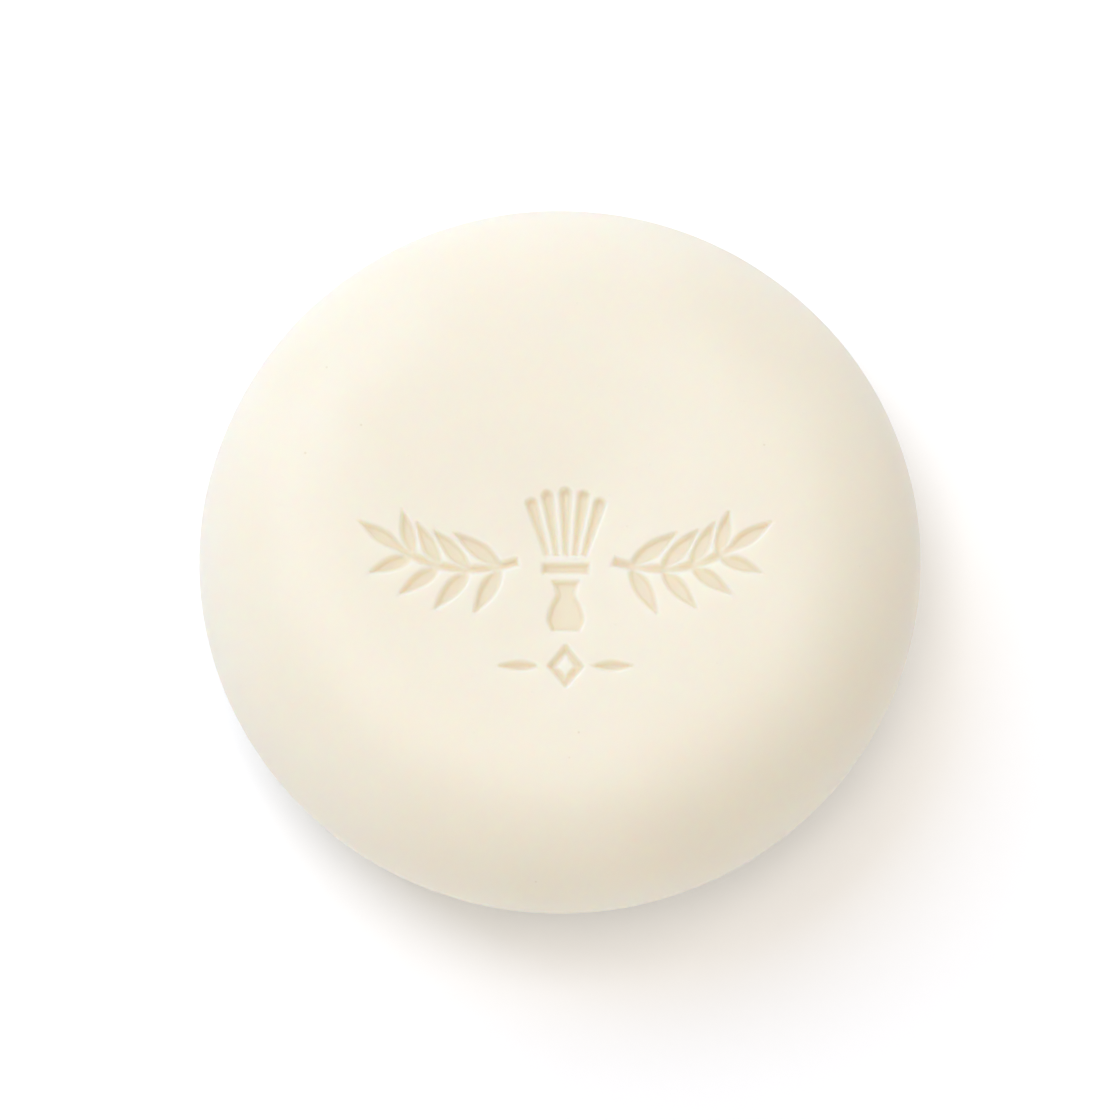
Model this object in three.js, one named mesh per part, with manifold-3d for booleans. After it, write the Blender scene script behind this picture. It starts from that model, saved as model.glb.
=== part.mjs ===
// A round pressed bar of shaving soap: a thick puck with full, rounded shoulders,
// a very shallow dish on each face, and an ornament pressed into the top face.
// Millimetres, +Z up, the origin at the middle of the flat ring it rests on.
import * as THREE from "three";
import { mergeVertices } from "three/addons/utils/BufferGeometryUtils.js";
import Module from "manifold-3d";

// The puck
const RADIUS = 38;
const THICKNESS = 24.5;
const CREST_RADIUS = 22; // where the top face is highest, between its dish and its shoulder
const DISH_DEPTH = 1.1;
const SHOULDER_POWER = 2.4; // 2 gives an elliptical shoulder, more a fuller one
const LAND_INNER = 20; // the flat ring under the puck
const LAND_OUTER = 24.5;
const TURN_SEGMENTS = 88;
const DISH_RINGS = 5;
const SHOULDER_RINGS = 11;

// The ornament on the top face
const PRESS_DEPTH = 0.5;
const PRESS_REACH = 4; // how far the cutting prisms run past the face, both ways
const CENTRE_X = 0.6;
const MAIN_Y = -3.05;
const LOWER_Y = -14.7;

// A shaving brush, standing on its foot: half widths of its turned handle from the foot up,
// then a collar, then bristles fanned out above it
const HANDLE_CURVE = [
  [1.35, -7.8],
  [1.85, -6.6],
  [1.5, -5.0],
  [0.95, -3.8],
  [1.4, -2.3],
];
const HANDLE_STEPS = 12;
const COLLAR_HALF_WIDTH = 2.4;
const COLLAR_BOTTOM = -1.5;
const COLLAR_TOP = -0.4;
const BRISTLE_COUNT = 5;
const BRISTLE_FOOT_Y = 0.5;
const BRISTLE_FOOT_WIDTH = 0.5;
const BRISTLE_TIP_WIDTH = 1.15;
const BRISTLE_SPREAD = 1.9; // how far the outer bristles' feet are from the middle
const BRISTLE_LEAN = 0.29; // radians the outer bristles lean out
const BRISTLE_LENGTH = 6.7;
const BRISTLE_DROP = 0.9; // how much shorter the outer bristles are
const BRISTLE_TIP_STEPS = 5;

// A sprig on each side: a bent stem with pairs of pointed leaves and one leaf at its tip
const STEM_START = [5.0, -0.2];
const STEM_BEND = [12.3, -2.6]; // the stem leaves its foot towards here and reaches its end from here
const STEM_END = [17.6, 1.3];
const STEM_WIDTH = 0.85;
const STEM_STEPS = 8;
const LEAF_PLACES = [0.12, 0.36, 0.6, 0.84];
const LEAF_ANGLE = 0.85; // radians away from the stem
const LEAF_LONG = 6.2; // nearest the stem's foot
const LEAF_SHORT = 4.8; // nearest its tip
const LEAF_WIDTH = 0.29; // as a share of a leaf's length
const LEAF_STEPS = 7;
const LEAF_FULLNESS = 0.85; // under 1 puts the widest place nearer the leaf's foot
const TIP_PLACE = 0.95; // the leaf at the tip starts a little inside the stem's end
const TIP_LENGTH = 5.3;

// Below them, an open diamond between two slim leaves that point away from it
const DIAMOND_HALF_WIDTH = 1.9;
const DIAMOND_HALF_HEIGHT = 2.35;
const DIAMOND_OPENING = 0.5; // the opening's size, as a share of the diamond's
const SIDE_LEAF_START = 2.9;
const SIDE_LEAF_LENGTH = 4.2;
const SIDE_LEAF_WIDTH = 1.0;

const MERGE_DISTANCE = 1e-4;
const SOAP = new THREE.MeshStandardMaterial({ color: 0xf3ecda, roughness: 0.45, metalness: 0 });

const wasm = await Module();
wasm.setup();

function solidOf(geometry) {
  const plain = geometry.clone();
  plain.deleteAttribute("normal");
  plain.deleteAttribute("uv");
  const merged = mergeVertices(plain, MERGE_DISTANCE);
  return new wasm.Manifold(
    new wasm.Mesh({
      numProp: 3,
      vertProperties: merged.attributes.position.array,
      triVerts: new Uint32Array(merged.index.array),
    }),
  );
}

function geometryOf(solid) {
  const mesh = solid.getMesh();
  const geometry = new THREE.BufferGeometry();
  geometry.setAttribute("position", new THREE.BufferAttribute(mesh.vertProperties, mesh.numProp));
  geometry.setIndex(new THREE.BufferAttribute(mesh.triVerts, 1));
  geometry.computeVertexNormals();
  return geometry;
}

// How far the dish drops below the crest at a radius inside it.
function dishDrop(r, edge) {
  return (DISH_DEPTH * (1 + Math.cos((Math.PI * r) / edge))) / 2;
}

// Half profile of one face, from the axis out to the rim, as [radius, height above mid-thickness].
function faceProfile(dishEdge, shoulderStart) {
  const half = THICKNESS / 2;
  const points = [];
  for (let i = 0; i <= DISH_RINGS; i++) {
    const r = (dishEdge * i) / DISH_RINGS;
    points.push([r, half - dishDrop(r, dishEdge)]);
  }
  if (shoulderStart > dishEdge) points.push([shoulderStart, half]);
  for (let i = 1; i <= SHOULDER_RINGS; i++) {
    const turn = ((Math.PI / 2) * i) / SHOULDER_RINGS;
    const across = Math.sin(turn) ** (2 / SHOULDER_POWER);
    const up = i === SHOULDER_RINGS ? 0 : Math.cos(turn);
    points.push([shoulderStart + (RADIUS - shoulderStart) * across, half * up]);
  }
  return points;
}

function puckBlank() {
  const middle = THICKNESS / 2;
  const under = faceProfile(LAND_INNER, LAND_OUTER).map(([r, h]) => new THREE.Vector2(r, middle - h));
  const over = faceProfile(CREST_RADIUS, CREST_RADIUS).map(([r, h]) => new THREE.Vector2(r, middle + h));
  over.pop(); // the rim point is already the last one of the lower half
  const outline = [...under, ...over.reverse()];
  return solidOf(new THREE.LatheGeometry(outline, TURN_SEGMENTS).rotateX(Math.PI / 2));
}

function mirrored(outline) {
  return outline.map((point) => new THREE.Vector2(-point.x, point.y)).reverse();
}

// The closed outline of a stroke along a curve, from its half width at each share of the way.
function strokeOutline(curve, halfWidthAt, steps) {
  const right = [];
  const left = [];
  for (let i = 0; i <= steps; i++) {
    const share = i / steps;
    const point = curve.getPoint(share);
    const tangent = curve.getTangent(share);
    const across = new THREE.Vector2(tangent.y, -tangent.x).multiplyScalar(halfWidthAt(share));
    right.push(point.clone().add(across));
    if (across.length() > MERGE_DISTANCE) left.unshift(point.clone().sub(across));
  }
  return [...right, ...left];
}

function lineFrom(foot, direction, length) {
  const reach = new THREE.Vector2(Math.cos(direction), Math.sin(direction)).multiplyScalar(length);
  return new THREE.LineCurve(foot, foot.clone().add(reach));
}

function leafOutline(foot, direction, length, width) {
  const halfWidthAt = (share) => (width / 2) * Math.sin(Math.PI * share ** LEAF_FULLNESS);
  return strokeOutline(lineFrom(foot, direction, length), halfWidthAt, LEAF_STEPS);
}

function sprigOutlines() {
  const [start, bend, end] = [STEM_START, STEM_BEND, STEM_END].map(([x, y]) => new THREE.Vector2(x, y));
  const stem = new THREE.QuadraticBezierCurve(start, bend, end);
  const outlines = [strokeOutline(stem, () => STEM_WIDTH / 2, STEM_STEPS)];
  const addLeaf = (place, angle, length) => {
    const direction = stem.getTangent(place).angle() + angle;
    outlines.push(leafOutline(stem.getPoint(place), direction, length, length * LEAF_WIDTH));
  };
  for (const place of LEAF_PLACES) {
    const length = LEAF_LONG + (LEAF_SHORT - LEAF_LONG) * place;
    addLeaf(place, LEAF_ANGLE, length);
    addLeaf(place, -LEAF_ANGLE, length);
  }
  addLeaf(TIP_PLACE, 0, TIP_LENGTH);
  return outlines;
}

// A stroke that widens from its foot to a round end.
function bristleOutline(foot, direction, length) {
  const taper = lineFrom(foot, direction, length);
  const along = taper.getTangent(0);
  const across = new THREE.Vector2(along.y, -along.x).multiplyScalar(BRISTLE_FOOT_WIDTH / 2);
  const outline = [foot.clone().add(across)];
  for (let i = 0; i <= BRISTLE_TIP_STEPS; i++) {
    const turn = direction - Math.PI / 2 + (Math.PI * i) / BRISTLE_TIP_STEPS;
    const reach = new THREE.Vector2(Math.cos(turn), Math.sin(turn)).multiplyScalar(BRISTLE_TIP_WIDTH / 2);
    outline.push(taper.getPoint(1).add(reach));
  }
  outline.push(foot.clone().sub(across));
  return outline;
}

function brushOutlines() {
  const curve = new THREE.SplineCurve(HANDLE_CURVE.map(([x, y]) => new THREE.Vector2(x, y)));
  const side = curve.getPoints(HANDLE_STEPS);
  const handle = [...side, ...mirrored(side)];
  const collarRight = [COLLAR_BOTTOM, COLLAR_TOP].map((y) => new THREE.Vector2(COLLAR_HALF_WIDTH, y));
  const outlines = [handle, [...collarRight, ...mirrored(collarRight)]];
  for (let i = 0; i < BRISTLE_COUNT; i++) {
    const place = (2 * i) / (BRISTLE_COUNT - 1) - 1;
    const foot = new THREE.Vector2(place * BRISTLE_SPREAD, BRISTLE_FOOT_Y);
    const direction = Math.PI / 2 - place * BRISTLE_LEAN;
    outlines.push(bristleOutline(foot, direction, BRISTLE_LENGTH - BRISTLE_DROP * place * place));
  }
  return outlines;
}

function diamondOutline(share) {
  const halfWidth = DIAMOND_HALF_WIDTH * share;
  const halfHeight = DIAMOND_HALF_HEIGHT * share;
  return [
    new THREE.Vector2(0, -halfHeight),
    new THREE.Vector2(halfWidth, 0),
    new THREE.Vector2(0, halfHeight),
    new THREE.Vector2(-halfWidth, 0),
  ];
}

function prismOf(outline) {
  const shape = new THREE.Shape(outline);
  const prism = new THREE.ExtrudeGeometry(shape, { depth: 2 * PRESS_REACH, bevelEnabled: false });
  return solidOf(prism.translate(0, 0, THICKNESS - PRESS_REACH));
}

function joined(outlines) {
  return outlines.map(prismOf).reduce((whole, prism) => whole.add(prism));
}

// The recess keeps the same depth everywhere, so its floor follows the dish.
function pressed(blank) {
  const sprig = sprigOutlines();
  const main = joined([...brushOutlines(), ...sprig, ...sprig.map(mirrored)]);
  const sideLeaf = leafOutline(new THREE.Vector2(SIDE_LEAF_START, 0), 0, SIDE_LEAF_LENGTH, SIDE_LEAF_WIDTH);
  const diamond = prismOf(diamondOutline(1)).subtract(prismOf(diamondOutline(DIAMOND_OPENING)));
  const lower = diamond.add(joined([sideLeaf, mirrored(sideLeaf)]));
  const die = main.translate([CENTRE_X, MAIN_Y, 0]).add(lower.translate([CENTRE_X, LOWER_Y, 0]));
  return blank.subtract(die.subtract(blank.translate([0, 0, -PRESS_DEPTH])));
}

const puck = new THREE.Mesh(geometryOf(pressed(puckBlank())), SOAP);
puck.name = "soap_puck";

const root = new THREE.Group();
root.name = "shaving_soap_puck";
root.add(puck);

export default root;
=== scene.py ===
"""A round pressed bar of shaving soap on a pale studio floor."""

import math

import bmesh
import bpy
import numpy as np
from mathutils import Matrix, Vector, geometry, noise


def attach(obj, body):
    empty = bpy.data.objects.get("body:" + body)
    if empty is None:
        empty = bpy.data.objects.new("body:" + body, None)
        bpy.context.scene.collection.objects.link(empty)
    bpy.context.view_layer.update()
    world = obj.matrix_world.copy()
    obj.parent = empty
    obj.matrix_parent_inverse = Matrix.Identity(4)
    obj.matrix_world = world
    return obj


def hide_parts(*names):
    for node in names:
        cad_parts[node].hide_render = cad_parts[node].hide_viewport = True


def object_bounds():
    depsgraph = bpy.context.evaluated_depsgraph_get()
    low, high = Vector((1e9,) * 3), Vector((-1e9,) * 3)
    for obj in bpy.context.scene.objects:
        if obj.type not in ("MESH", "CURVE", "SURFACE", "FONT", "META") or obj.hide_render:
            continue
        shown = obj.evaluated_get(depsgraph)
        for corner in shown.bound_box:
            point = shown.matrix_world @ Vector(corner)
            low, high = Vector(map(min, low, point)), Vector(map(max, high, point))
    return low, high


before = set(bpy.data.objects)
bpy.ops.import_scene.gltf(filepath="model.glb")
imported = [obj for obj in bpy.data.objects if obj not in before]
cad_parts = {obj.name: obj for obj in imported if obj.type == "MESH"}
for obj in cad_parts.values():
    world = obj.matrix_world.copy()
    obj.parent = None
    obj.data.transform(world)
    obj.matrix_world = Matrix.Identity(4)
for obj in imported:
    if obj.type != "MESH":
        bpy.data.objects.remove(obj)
cad_low, cad_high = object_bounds()

MM = 0.001

# The puck, in millimetres: its radius and thickness are the frame's
RADIUS = (cad_high[0] - cad_low[0]) / 2 / MM
THICKNESS = (cad_high[2] - cad_low[2]) / MM
MIDDLE = THICKNESS / 2
CREST_RADIUS = 22.0  # where the top face is highest
DISH_DEPTH = 1.1
SHOULDER_POWER = 2.4
LAND_INNER = 20.0  # the flat ring under the puck
LAND_OUTER = 24.5
SEAM_HEIGHT = 0.07  # the faint line left where the two dies meet
SEAM_WIDTH = 0.3
UNEVENNESS = 0.05  # slow waviness of the pressed surface
UNEVEN_LENGTH = 11.0
FINE_UNEVENNESS = 0.012
FINE_UNEVEN_LENGTH = 2.6
FINE_UNEVEN_SHIFT = Vector((31.0, 17.0, 5.0))  # so that the two sets of waves don't start together

# The ornament pressed into the top face
PRESS_DEPTH = 0.5
LIP_OUTSIDE = 0.32  # the wall starts this far outside the outline
LIP_INSIDE = 0.42  # and meets the floor this far inside it
JOIN_BLEND = 0.25  # how softly strokes run into each other
CENTRE_X = 0.6
MAIN_Y = -3.05
LOWER_Y = -14.7

# A shaving brush standing on its foot: half widths of its turned handle from the foot up,
# then a collar, then bristles fanned out above it
HANDLE_CURVE = ((1.35, -7.8), (1.85, -6.6), (1.5, -5.0), (0.95, -3.8), (1.4, -2.3))
COLLAR_HALF_WIDTH = 2.4
COLLAR_BOTTOM = -1.5
COLLAR_TOP = -0.4
BRISTLE_COUNT = 5
BRISTLE_FOOT_Y = 0.5
BRISTLE_FOOT_WIDTH = 0.5
BRISTLE_TIP_WIDTH = 1.15
BRISTLE_SPREAD = 1.9
BRISTLE_LEAN = 0.29
BRISTLE_LENGTH = 6.7
BRISTLE_DROP = 0.9

# A sprig on each side of it
STEM_START = (5.0, -0.2)
STEM_BEND = (12.3, -2.6)
STEM_END = (17.6, 1.3)
STEM_WIDTH = 0.85
LEAF_PLACES = (0.12, 0.36, 0.6, 0.84)
LEAF_ANGLE = 0.85
LEAF_LONG = 6.2
LEAF_SHORT = 4.8
LEAF_WIDTH = 0.29
LEAF_FULLNESS = 0.85
TIP_PLACE = 0.95
TIP_LENGTH = 5.3

# Below them, an open diamond between two slim leaves that point away from it
DIAMOND_HALF_WIDTH = 1.9
DIAMOND_HALF_HEIGHT = 2.35
DIAMOND_OPENING = 0.5
SIDE_LEAF_START = 2.9
SIDE_LEAF_LENGTH = 4.2
SIDE_LEAF_WIDTH = 1.0

# The mesh: round the ornament, points lie along the lines at a few distances from its outlines, then on
# a fine triangular grid, then on a coarse one out to a circle, and rings go on from there
DISC_RADIUS = 25.0
TURN_SEGMENTS = 288
RING_STEP = 0.62
UNDER_STEP = 1.0  # between the rings inside the flat ring
PROFILE_SAMPLES = 400
CURVE_STEPS = 20
LEAST_HALF_WIDTH = 1e-6  # a stroke narrower than this has come to a point
SEED_STEP = 0.06
LEVEL_STEP = 0.22
LEVEL_COUNT = 7
LEVEL_MARGIN = 0.05  # the first and last lines are this far outside the wall
LEVEL_TOLERANCE = 0.02
NEAR_STEP = 0.42
NEAR_BAND = 1.2
FAR_STEP = 0.85
FAR_AWAY = 4.0  # distances beyond this aren't told apart
PROBE_STEP = 0.01  # how far apart two distances are compared to find which way they grow
LEAST_SLOPE = 0.2  # keeps a move short on a ridge, where the distance hardly changes
LEVEL_MOVES = 6  # moves that bring a point onto its line
MERGE_DISTANCE = 1e-5  # points closer than this become one
SEAM_RINGS = 4  # on each side of the seam's own ring


# ---------------------------------------------------------------- outlines of the ornament

def moved(outline, dx, dy):
    return [(x + dx, y + dy) for x, y in outline]


def mirrored(outline):
    return [(-x, y) for x, y in reversed(outline)]


def stem_at(share):
    """A point of the stem's middle line, and the direction it runs there."""
    rest = 1 - share
    point = []
    slope = []
    for a, b, c in zip(STEM_START, STEM_BEND, STEM_END):
        point.append(rest * rest * a + 2 * rest * share * b + share * share * c)
        slope.append(rest * (b - a) + share * (c - b))
    return point, math.atan2(slope[1], slope[0])


def stroke_outline(place_at, half_width_at):
    """The closed outline of a stroke, from its middle line and its half width at each share of the way."""
    right = []
    left = []
    for i in range(CURVE_STEPS + 1):
        share = i / CURVE_STEPS
        (x, y), direction = place_at(share)
        half = half_width_at(share)
        dx = math.sin(direction) * half
        dy = math.cos(direction) * half
        right.append((x + dx, y - dy))
        if half > LEAST_HALF_WIDTH:
            left.insert(0, (x - dx, y + dy))
    return right + left


def stem_outline():
    return stroke_outline(stem_at, lambda share: STEM_WIDTH / 2)


def leaf_outline(foot, direction, length, width):
    def place_at(share):
        x = foot[0] + math.cos(direction) * length * share
        y = foot[1] + math.sin(direction) * length * share
        return (x, y), direction

    return stroke_outline(place_at, lambda share: width / 2 * math.sin(math.pi * share**LEAF_FULLNESS))


def sprig_outlines():
    outlines = [stem_outline()]
    for place in LEAF_PLACES:
        point, direction = stem_at(place)
        length = LEAF_LONG + (LEAF_SHORT - LEAF_LONG) * place
        for angle in (LEAF_ANGLE, -LEAF_ANGLE):
            outlines.append(leaf_outline(point, direction + angle, length, length * LEAF_WIDTH))
    point, direction = stem_at(TIP_PLACE)
    outlines.append(leaf_outline(point, direction, TIP_LENGTH, TIP_LENGTH * LEAF_WIDTH))
    return outlines


def bristle_outline(foot, direction, length):
    """A tapered stroke with a round end."""
    tip_x = foot[0] + math.cos(direction) * length
    tip_y = foot[1] + math.sin(direction) * length
    side_x = math.sin(direction) * BRISTLE_FOOT_WIDTH / 2
    side_y = math.cos(direction) * BRISTLE_FOOT_WIDTH / 2
    outline = [(foot[0] + side_x, foot[1] - side_y)]
    for i in range(CURVE_STEPS + 1):
        turn = direction - math.pi / 2 + math.pi * i / CURVE_STEPS
        reach = BRISTLE_TIP_WIDTH / 2
        outline.append((tip_x + reach * math.cos(turn), tip_y + reach * math.sin(turn)))
    outline.append((foot[0] - side_x, foot[1] + side_y))
    return outline


def smooth_curve(points, steps):
    """A Catmull-Rom curve through the points."""
    last = len(points) - 1
    found = []
    for i in range(steps + 1):
        place = last * i / steps
        k = min(int(place), last - 1)
        t = place - k
        corners = [Vector(points[min(max(j, 0), last)]) for j in (k - 1, k, k + 1, k + 2)]
        start = (corners[2] - corners[0]) / 2
        end = (corners[3] - corners[1]) / 2
        cubic = 2 * (corners[1] - corners[2]) + start + end
        square = 3 * (corners[2] - corners[1]) - 2 * start - end
        found.append(tuple(cubic * t**3 + square * t**2 + start * t + corners[1]))
    return found


def brush_outlines():
    collar = [
        (-COLLAR_HALF_WIDTH, COLLAR_BOTTOM),
        (COLLAR_HALF_WIDTH, COLLAR_BOTTOM),
        (COLLAR_HALF_WIDTH, COLLAR_TOP),
        (-COLLAR_HALF_WIDTH, COLLAR_TOP),
    ]
    side = smooth_curve(HANDLE_CURVE, CURVE_STEPS)
    outlines = [side + mirrored(side), collar]
    for i in range(BRISTLE_COUNT):
        place = 2 * i / (BRISTLE_COUNT - 1) - 1
        foot = (place * BRISTLE_SPREAD, BRISTLE_FOOT_Y)
        length = BRISTLE_LENGTH - BRISTLE_DROP * place * place
        outlines.append(bristle_outline(foot, math.pi / 2 - place * BRISTLE_LEAN, length))
    return outlines


def diamond_outline(share):
    half_width = DIAMOND_HALF_WIDTH * share
    half_height = DIAMOND_HALF_HEIGHT * share
    return [(0, -half_height), (half_width, 0), (0, half_height), (-half_width, 0)]


def ornament_outlines():
    """The outlines that are pressed in, and the one island that stays proud inside them."""
    sprig = sprig_outlines()
    main = brush_outlines() + sprig + [mirrored(o) for o in sprig]
    side_leaf = leaf_outline((SIDE_LEAF_START, 0), 0, SIDE_LEAF_LENGTH, SIDE_LEAF_WIDTH)
    lower = [diamond_outline(1), side_leaf, mirrored(side_leaf)]
    sunk = [moved(o, CENTRE_X, MAIN_Y) for o in main] + [moved(o, CENTRE_X, LOWER_Y) for o in lower]
    island = moved(diamond_outline(DIAMOND_OPENING), CENTRE_X, LOWER_Y)
    return [np.array(o) for o in sunk], np.array(island)


# ---------------------------------------------------------------- distance to the outlines

def outline_distance(points, outline):
    """Distance to one closed outline, negative inside it."""
    start = outline
    along = np.roll(outline, -1, axis=0) - start
    away = points[:, None, :] - start[None, :, :]
    share = np.clip((away * along).sum(2) / (along * along).sum(1), 0, 1)
    gap = away - share[:, :, None] * along
    distance = np.sqrt((gap * gap).sum(2)).min(1)
    end = start + along
    y = points[:, None, 1]
    straddles = (start[:, 1] > y) != (end[:, 1] > y)
    rise = np.where(along[:, 1] == 0, 1, along[:, 1])
    crossing = start[:, 0] + (y - start[:, 1]) * along[:, 0] / rise
    inside = (straddles & (points[:, None, 0] < crossing)).sum(1) % 2 == 1
    return np.where(inside, -distance, distance)


def soft_least(a, b):
    """The lesser of two distances, rounded off where they are nearly the same."""
    mix = np.clip(0.5 + 0.5 * (b - a) / JOIN_BLEND, 0, 1)
    return b + (a - b) * mix - JOIN_BLEND * mix * (1 - mix)


def ornament_distance(points, ornament):
    sunk, island = ornament
    total = np.full(len(points), FAR_AWAY)
    for outline in sunk:
        low = outline.min(0) - FAR_AWAY / 2
        high = outline.max(0) + FAR_AWAY / 2
        near = ((points > low) & (points < high)).all(1)
        if near.any():
            total[near] = soft_least(total[near], outline_distance(points[near], outline))
    close = total < FAR_AWAY / 2
    total[close] = np.maximum(total[close], -outline_distance(points[close], island))
    return total


def pressed_depth(distance):
    """How deep the die went, by distance from its outline: flat outside, a soft wall, a flat floor."""
    share = np.clip((LIP_OUTSIDE - distance) / (LIP_OUTSIDE + LIP_INSIDE), 0, 1)
    return PRESS_DEPTH * share * share * share * (share * (share * 6 - 15) + 10)


# ---------------------------------------------------------------- the puck's surface

def dish_drop(r, edge):
    return DISH_DEPTH * (1 + np.cos(np.pi * np.minimum(r, edge) / edge)) / 2


def face_height(r, dish_edge, shoulder_start):
    """Height of a face above mid-thickness at a radius."""
    share = np.clip((r - shoulder_start) / (RADIUS - shoulder_start), 0, 1)
    shoulder = np.sqrt(1 - share**SHOULDER_POWER)
    return MIDDLE * shoulder - dish_drop(r, dish_edge)


def top_height(r):
    return face_height(r, CREST_RADIUS, CREST_RADIUS)


def under_height(r):
    return face_height(r, LAND_INNER, LAND_OUTER)


def ring_profile(height_at, start):
    """Radii and heights from the start radius out to the rim, evenly spaced along the curve."""
    turn = np.linspace(0, np.pi / 2, PROFILE_SAMPLES)
    shoulder = start + (RADIUS - start) * np.sin(turn)
    height = height_at(shoulder)
    height[-1] = 0
    length = np.concatenate([[0], np.cumsum(np.hypot(np.diff(shoulder), np.diff(height)))])
    count = int(length[-1] / RING_STEP)
    places = np.linspace(0, length[-1], count + 1)
    return np.interp(places, length, shoulder), np.interp(places, length, height)


def thinned(points, step):
    """Points no closer to each other than a step, taken in order."""
    kept = []
    cells = {}
    for x, y in points:
        cx = int(x // step)
        cy = int(y // step)
        crowded = False
        for i in (cx - 1, cx, cx + 1):
            for j in (cy - 1, cy, cy + 1):
                for px, py in cells.get((i, j), ()):
                    if (px - x) ** 2 + (py - y) ** 2 < step * step:
                        crowded = True
        if not crowded:
            cells.setdefault((cx, cy), []).append((x, y))
            kept.append((x, y))
    return np.array(kept).reshape(-1, 2)


def outline_seeds(ornament):
    """Points all along the ornament's outlines."""
    sunk, island = ornament
    seeds = []
    for outline in sunk + [island]:
        for a, b in zip(outline, np.roll(outline, -1, axis=0)):
            count = max(1, int(np.hypot(*(b - a)) / SEED_STEP))
            shares = np.arange(count)[:, None] / count
            seeds.append(a + (b - a) * shares)
    return np.concatenate(seeds)


def level_points(ornament, level):
    """Points along the line that is a given distance from the ornament's outlines."""
    points = outline_seeds(ornament)
    for _ in range(LEVEL_MOVES):
        here = ornament_distance(points, ornament)
        slope_x = ornament_distance(points + (PROBE_STEP, 0), ornament) - here
        slope_y = ornament_distance(points + (0, PROBE_STEP), ornament) - here
        slope = np.stack([slope_x, slope_y], 1) / PROBE_STEP
        size = np.maximum((slope * slope).sum(1), LEAST_SLOPE)
        points = points - slope * ((here - level) / size)[:, None]
    good = abs(ornament_distance(points, ornament) - level) < LEVEL_TOLERANCE
    return thinned(points[good], LEVEL_STEP)


def hex_points(step):
    """A triangular grid over the disc."""
    rows = []
    height = step * math.sqrt(3) / 2
    for j in range(-int(DISC_RADIUS / height), int(DISC_RADIUS / height) + 1):
        x = np.arange(-DISC_RADIUS, DISC_RADIUS, step) + (step / 2 if j % 2 else 0)
        rows.append(np.stack([x, np.full(len(x), j * height)], 1))
    points = np.concatenate(rows)
    return points[np.hypot(points[:, 0], points[:, 1]) < DISC_RADIUS - step / 2]


def circle_points(r, z):
    turn = 2 * np.pi * np.arange(TURN_SEGMENTS) / TURN_SEGMENTS
    return np.stack([r * np.cos(turn), r * np.sin(turn), np.full(TURN_SEGMENTS, z)], 1)


def disc_points(ornament):
    rim = circle_points(DISC_RADIUS, 0)[:, :2]
    levels = np.linspace(LIP_OUTSIDE + LEVEL_MARGIN, -LIP_INSIDE - LEVEL_MARGIN, LEVEL_COUNT)
    groups = [rim] + [level_points(ornament, level) for level in levels]
    near = hex_points(NEAR_STEP)
    distance = ornament_distance(near, ornament)
    outside = (distance > levels[0] + NEAR_STEP / 3) & (distance < NEAR_BAND)
    floor = distance < levels[-1] - NEAR_STEP / 4
    groups.append(near[outside | floor])
    far = hex_points(FAR_STEP)
    groups.append(far[ornament_distance(far, ornament) > NEAR_BAND + FAR_STEP / 4])
    return np.concatenate(groups)


def disc_mesh(ornament):
    """The top face out to the disc's rim: its points come first in the order of the rim's circle."""
    points = disc_points(ornament)
    found = geometry.delaunay_2d_cdt([Vector(p) for p in points], [], [], 0, MERGE_DISTANCE)
    places = np.array([tuple(v) for v in found[0]])
    faces = [tuple(f) for f in found[2]]
    origin = {source: i for i, sources in enumerate(found[3]) for source in sources}
    rim = [origin[i] for i in range(TURN_SEGMENTS)]
    distance = ornament_distance(places, ornament)
    depth = pressed_depth(distance)
    height = MIDDLE + top_height(np.hypot(places[:, 0], places[:, 1])) - depth
    # the last value is each point's share of the ornament's depth, which paints shade into the recesses
    return np.column_stack([places, height]), faces, rim, depth / PRESS_DEPTH


def seam_ring(z):
    """A ring of the rounded side close to mid-thickness, with the seam's bulge."""
    start = CREST_RADIUS if z > MIDDLE else LAND_OUTER
    share = (1 - (abs(z - MIDDLE) / MIDDLE) ** 2) ** (1 / SHOULDER_POWER)
    bulge = SEAM_HEIGHT * math.exp(-(((z - MIDDLE) / SEAM_WIDTH) ** 2))
    return start + (RADIUS - start) * share + bulge, z


def ring_list():
    """(radius, height) of each ring, from the disc's rim round the edge to the middle of the underside."""
    seam_heights = [MIDDLE + SEAM_WIDTH * k / 2 for k in range(SEAM_RINGS, -SEAM_RINGS - 1, -1)]
    radii, heights = ring_profile(top_height, DISC_RADIUS)
    upper = [(r, MIDDLE + z) for r, z in zip(radii[1:], heights[1:])]
    rings = [ring for ring in upper if ring[1] > seam_heights[0] + RING_STEP / 3]
    rings += [seam_ring(z) for z in seam_heights]
    radii, heights = ring_profile(under_height, LAND_OUTER)
    lower = [(r, MIDDLE - z) for r, z in zip(radii, heights)]
    rings += [ring for ring in reversed(lower) if ring[1] < seam_heights[-1] - RING_STEP / 3]
    for r in np.arange(LAND_OUTER - UNDER_STEP, UNDER_STEP / 2, -UNDER_STEP):
        rings.append((r, MIDDLE - float(under_height(r))))
    return rings


def uneven(point, normal):
    """A point of the surface, moved a little by slow waves and fine ones."""
    slow = noise.noise(point / UNEVEN_LENGTH)
    fine = noise.noise(point / FINE_UNEVEN_LENGTH + FINE_UNEVEN_SHIFT)
    return point + normal * (UNEVENNESS * slow + FINE_UNEVENNESS * fine)


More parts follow.
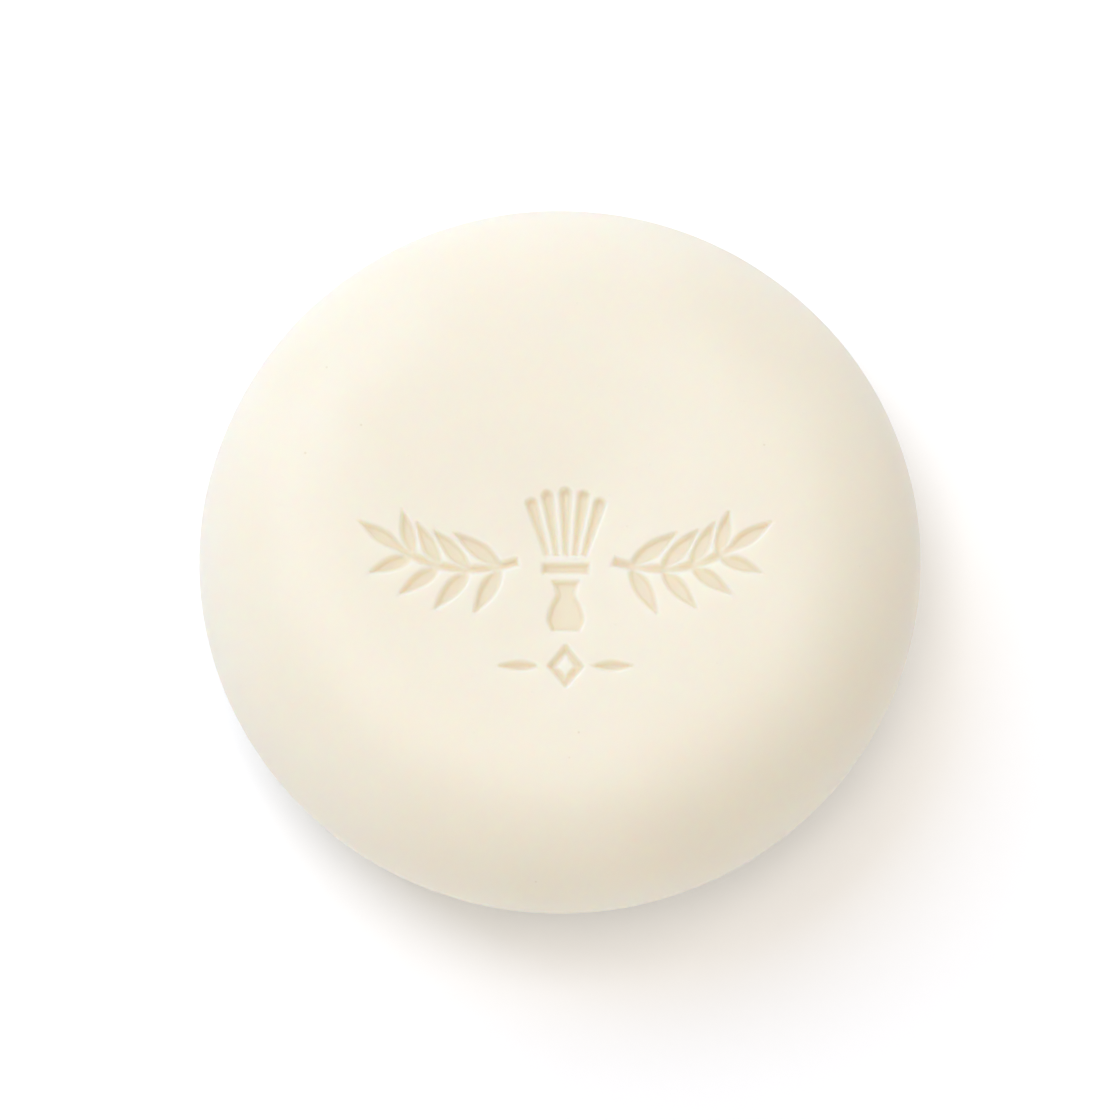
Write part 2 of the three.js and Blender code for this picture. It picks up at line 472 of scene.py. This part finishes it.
def puck_mesh():
    points, faces, rim, pressed = disc_mesh(ornament_outlines())
    points = list(map(tuple, points))
    pressed = list(pressed)
    previous = rim
    for r, z in ring_list():
        first = len(points)
        points += map(tuple, circle_points(r, z))
        pressed += [0.0] * TURN_SEGMENTS
        ring = list(range(first, first + TURN_SEGMENTS))
        for i in range(TURN_SEGMENTS):
            j = (i + 1) % TURN_SEGMENTS
            faces.append((previous[i], ring[i], ring[j], previous[j]))
        previous = ring
    middle = len(points)
    points.append((0, 0, MIDDLE - float(under_height(0.0))))
    pressed.append(0.0)
    for i in range(TURN_SEGMENTS):
        faces.append((previous[i], middle, previous[(i + 1) % TURN_SEGMENTS]))
    return points, faces, pressed


def make_puck():
    points, faces, pressed = puck_mesh()
    mesh = bpy.data.meshes.new("soap")
    mesh.from_pydata(points, [], faces)
    work = bmesh.new()
    work.from_mesh(mesh)
    bmesh.ops.recalc_face_normals(work, faces=work.faces)
    work.normal_update()
    for vertex in work.verts:
        vertex.co = uneven(vertex.co.copy(), vertex.normal) * MM
        vertex.co.z = max(vertex.co.z, 0)  # the flat ring lies on the floor
    work.to_mesh(mesh)
    work.free()
    # painted shade: each point's share of the ornament's depth darkens and warms its colour in the
    # recesses
    mesh.attributes.new("pressed", "FLOAT", "POINT").data.foreach_set("value", pressed)
    mesh.shade_smooth()
    puck = bpy.data.objects.new("soap", mesh)
    bpy.context.collection.objects.link(puck)
    return puck


# ---------------------------------------------------------------- material

CREAM = (0.895, 0.835, 0.70, 1)  # the soap's own colour
PALE_CREAM = (0.91, 0.855, 0.725, 1)  # where it is a little paler
RECESS_SHADE_CREAM = (0.88, 0.795, 0.61, 1)  # painted shade: the darker, warmer tint of the ornament's recesses, where light is caught
SPECK_CREAM = (0.82, 0.745, 0.59, 1)  # the odd darker grain

REFRACTIVE_INDEX = 1.46
NOISE_LOW = 0.3  # noise rarely leaves this range
NOISE_HIGH = 0.7
SPOT_CORE = 0.4  # the share of a spot's radius that it keeps its full strength to

# Sizes and depths in millimetres
SCATTER_REACH = 3.5  # how far red light spreads under the surface
SCATTER_COLOUR = (1.0, 0.65, 0.4)  # and how far each colour does beside it
CLOUD_SIZE = 14.0
SPECK_SPACING = 5.5
SPECK_SHARE = 0.035  # a speck's radius, as a share of the spacing
SHEEN_SIZE = 5.0
SHEEN_LOW = 0.38
SHEEN_HIGH = 0.50
WAX_SIZE = 1.8
WAX_DEPTH = 0.012
GRAIN_SIZE = 0.28
GRAIN_DEPTH = 0.004
PIT_SPACING = 2.3
PIT_SHARE = 0.05
PIT_DEPTH = 0.03


def add_node(material, kind, **settings):
    node = material.node_tree.nodes.new(kind)
    for name, value in settings.items():
        setattr(node, name, value)
    return node


def noise_node(material, size_mm, detail, roughness=0.5):
    """Noise with features about this size, in the object's own coordinates."""
    place = add_node(material, "ShaderNodeTexCoord")
    noise_map = add_node(material, "ShaderNodeTexNoise")
    noise_map.inputs["Scale"].default_value = 1 / (size_mm * MM)
    noise_map.inputs["Detail"].default_value = detail
    noise_map.inputs["Roughness"].default_value = roughness
    material.node_tree.links.new(place.outputs["Object"], noise_map.inputs["Vector"])
    return noise_map.outputs["Fac"]


def spot_node(material, spacing_mm, size_share):
    """1 in small round spots, scattered about a spacing apart, and 0 between them."""
    place = add_node(material, "ShaderNodeTexCoord")
    cells = add_node(material, "ShaderNodeTexVoronoi")
    cells.inputs["Scale"].default_value = 1 / (spacing_mm * MM)
    spot = add_node(material, "ShaderNodeMapRange", interpolation_type="SMOOTHSTEP")
    spot.inputs["From Min"].default_value = size_share
    spot.inputs["From Max"].default_value = size_share * SPOT_CORE
    material.node_tree.links.new(place.outputs["Object"], cells.inputs["Vector"])
    material.node_tree.links.new(cells.outputs["Distance"], spot.inputs["Value"])
    return spot.outputs["Result"]


def ranged(material, value, low, high):
    """The value, taken from the range that noise fills to another one."""
    node = add_node(material, "ShaderNodeMapRange")
    node.inputs["From Min"].default_value = NOISE_LOW
    node.inputs["From Max"].default_value = NOISE_HIGH
    node.inputs["To Min"].default_value = low
    node.inputs["To Max"].default_value = high
    material.node_tree.links.new(value, node.inputs["Value"])
    return node.outputs["Result"]


def mixed(material, factor, first, second):
    """A colour between two: each is a socket or a fixed colour."""
    node = add_node(material, "ShaderNodeMix", data_type="RGBA")
    for name, value in (("A_Color", first), ("B_Color", second)):
        socket = next(s for s in node.inputs if s.identifier == name)
        if isinstance(value, tuple):
            socket.default_value = value
        else:
            material.node_tree.links.new(value, socket)
    factor_socket = next(s for s in node.inputs if s.identifier == "Factor_Float")
    material.node_tree.links.new(factor, factor_socket)
    return next(s for s in node.outputs if s.identifier == "Result_Color")


def bumped(material, height, depth_mm, before=None, invert=False):
    """The surface's normal with bumps, or with hollows where inverted, on top of the bumps before."""
    node = add_node(material, "ShaderNodeBump", invert=invert)
    node.inputs["Distance"].default_value = depth_mm * MM
    node.inputs["Strength"].default_value = 1.0
    material.node_tree.links.new(height, node.inputs["Height"])
    if before is not None:
        material.node_tree.links.new(before, node.inputs["Normal"])
    return node.outputs["Normal"]


def soap_material():
    material = bpy.data.materials.new("milled_soap")
    material.use_nodes = True
    links = material.node_tree.links
    shader = material.node_tree.nodes["Principled BSDF"]
    shader.inputs["IOR"].default_value = REFRACTIVE_INDEX
    shader.inputs["Subsurface Weight"].default_value = 1.0
    shader.inputs["Subsurface Radius"].default_value = SCATTER_COLOUR
    shader.inputs["Subsurface Scale"].default_value = SCATTER_REACH * MM

    clouds = ranged(material, noise_node(material, CLOUD_SIZE, detail=3), 0, 1)
    colour = mixed(material, clouds, CREAM, PALE_CREAM)
    specks = spot_node(material, SPECK_SPACING, SPECK_SHARE)
    colour = mixed(material, specks, colour, SPECK_CREAM)
    # painted shade: the ornament's sunk walls and floors get a darker, warmer colour in place of the shade
    # and bounced light in the recesses
    pressed = add_node(material, "ShaderNodeAttribute", attribute_name="pressed")
    colour = mixed(material, pressed.outputs["Fac"], colour, RECESS_SHADE_CREAM)
    links.new(colour, shader.inputs["Base Color"])

    sheen = noise_node(material, SHEEN_SIZE, detail=4)
    links.new(ranged(material, sheen, SHEEN_LOW, SHEEN_HIGH), shader.inputs["Roughness"])

    normal = bumped(material, noise_node(material, WAX_SIZE, detail=2), WAX_DEPTH)
    grain = noise_node(material, GRAIN_SIZE, detail=3, roughness=0.6)
    normal = bumped(material, grain, GRAIN_DEPTH, normal)
    pits = spot_node(material, PIT_SPACING, PIT_SHARE)
    normal = bumped(material, pits, PIT_DEPTH, normal, invert=True)
    links.new(normal, shader.inputs["Normal"])
    return material


# ---------------------------------------------------------------- studio

WHITE = (1, 1, 1, 1)

FLOOR_FLAT = 1.6  # in metres: the sweep is flat this far out, then turns up all round
FLOOR_BEND = 0.8
FLOOR_WALL = 0.6
FLOOR_COLOUR = (0.96, 0.96, 0.96, 1)
FLOOR_ROUGHNESS = 0.9
FLOOR_GLOW = 0.10
FLOOR_SEGMENTS = 96
FLAT_RINGS = (0.25, 0.5, 0.75)  # their places, as shares of the way across the flat part
BEND_STEPS = 16

# Each light: its name, place and side in metres, power in watts, and colour
LIGHTS = (
    ("key", (-0.59, 0.59, 1.0), 0.9, 7.22, (0.845, 1.0, 1.259)),
    ("top", (0, 0, 1.5), 1.2, 11.2, (1.0, 0.898, 0.794)),
    ("back_fill", (0, 1.065, 0.758), 0.8, 2.0, (1, 1, 1)),
    ("front_fill", (0, -1.065, 0.758), 0.9, 2.0, (1, 1, 1)),
)
WORLD_STRENGTH = 0.11

CAMERA_ELEVATION = 74.7  # degrees
CAMERA_DISTANCE = 1.2  # metres
FRAME_HALF_WIDTH = 59.1 * MM  # half the picture's width at the puck
SENSOR_WIDTH = 36  # millimetres


def make_floor():
    """A round seamless sweep: a flat floor that curves up into a low wall."""
    profile = [(FLOOR_FLAT * share, 0.0) for share in FLAT_RINGS]
    for i in range(BEND_STEPS + 1):
        turn = math.pi / 2 * i / BEND_STEPS
        across = FLOOR_FLAT + FLOOR_BEND * math.sin(turn)
        profile.append((across, FLOOR_BEND * (1 - math.cos(turn))))
    profile.append((FLOOR_FLAT + FLOOR_BEND, FLOOR_BEND + FLOOR_WALL))
    points = [(0.0, 0.0, 0.0)]
    for r, z in profile:
        for i in range(FLOOR_SEGMENTS):
            turn = 2 * math.pi * i / FLOOR_SEGMENTS
            points.append((r * math.cos(turn), r * math.sin(turn), z))
    faces = []
    for i in range(FLOOR_SEGMENTS):
        j = (i + 1) % FLOOR_SEGMENTS
        faces.append((0, 1 + i, 1 + j))
        for ring in range(len(profile) - 1):
            a = 1 + ring * FLOOR_SEGMENTS
            b = a + FLOOR_SEGMENTS
            faces.append((a + i, b + i, b + j, a + j))
    mesh = bpy.data.meshes.new("studio_floor")
    mesh.from_pydata(points, [], faces)
    mesh.shade_smooth()
    material = bpy.data.materials.new("studio_floor")
    material.use_nodes = True
    shader = material.node_tree.nodes["Principled BSDF"]
    shader.inputs["Base Color"].default_value = FLOOR_COLOUR
    shader.inputs["Roughness"].default_value = FLOOR_ROUGHNESS
    shader.inputs["Specular IOR Level"].default_value = 0.0
    shader.inputs["Emission Color"].default_value = WHITE
    shader.inputs["Emission Strength"].default_value = FLOOR_GLOW
    mesh.materials.append(material)
    floor = bpy.data.objects.new("studio_floor", mesh)
    bpy.context.collection.objects.link(floor)


def make_light(name, place, size, power, colour):
    data = bpy.data.lights.new(name, "AREA")
    data.shape = "SQUARE"
    data.size = size
    data.energy = power
    data.color = colour
    light = bpy.data.objects.new(name, data)
    light.location = place
    towards = Vector((0, 0, MIDDLE * MM)) - Vector(place)
    light.rotation_euler = towards.to_track_quat("-Z", "Y").to_euler()
    bpy.context.collection.objects.link(light)


def make_lights():
    """A soft key from the upper left, a large panel overhead, two weak fills, and a faint white world."""
    for light in LIGHTS:
        make_light(*light)
    world = bpy.data.worlds.new("studio")
    world.use_nodes = True
    background = world.node_tree.nodes["Background"]
    background.inputs["Color"].default_value = WHITE
    background.inputs["Strength"].default_value = WORLD_STRENGTH
    bpy.context.scene.world = world


def make_camera():
    data = bpy.data.cameras.new("camera")
    data.sensor_width = SENSOR_WIDTH
    data.lens = SENSOR_WIDTH / 2 * CAMERA_DISTANCE / FRAME_HALF_WIDTH
    camera = bpy.data.objects.new("camera", data)
    elevation = math.radians(CAMERA_ELEVATION)
    target = Vector((0, 0, MIDDLE * MM))
    away = Vector((0, -math.cos(elevation), math.sin(elevation)))
    camera.location = target + away * CAMERA_DISTANCE
    camera.rotation_euler = (math.pi / 2 - elevation, 0, 0)
    bpy.context.collection.objects.link(camera)
    bpy.context.scene.camera = camera


puck = make_puck()
puck.data.materials.append(soap_material())
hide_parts("soap_puck")
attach(puck, "root")
make_floor()
make_lights()
make_camera()
bpy.context.scene.view_settings.view_transform = "Standard"
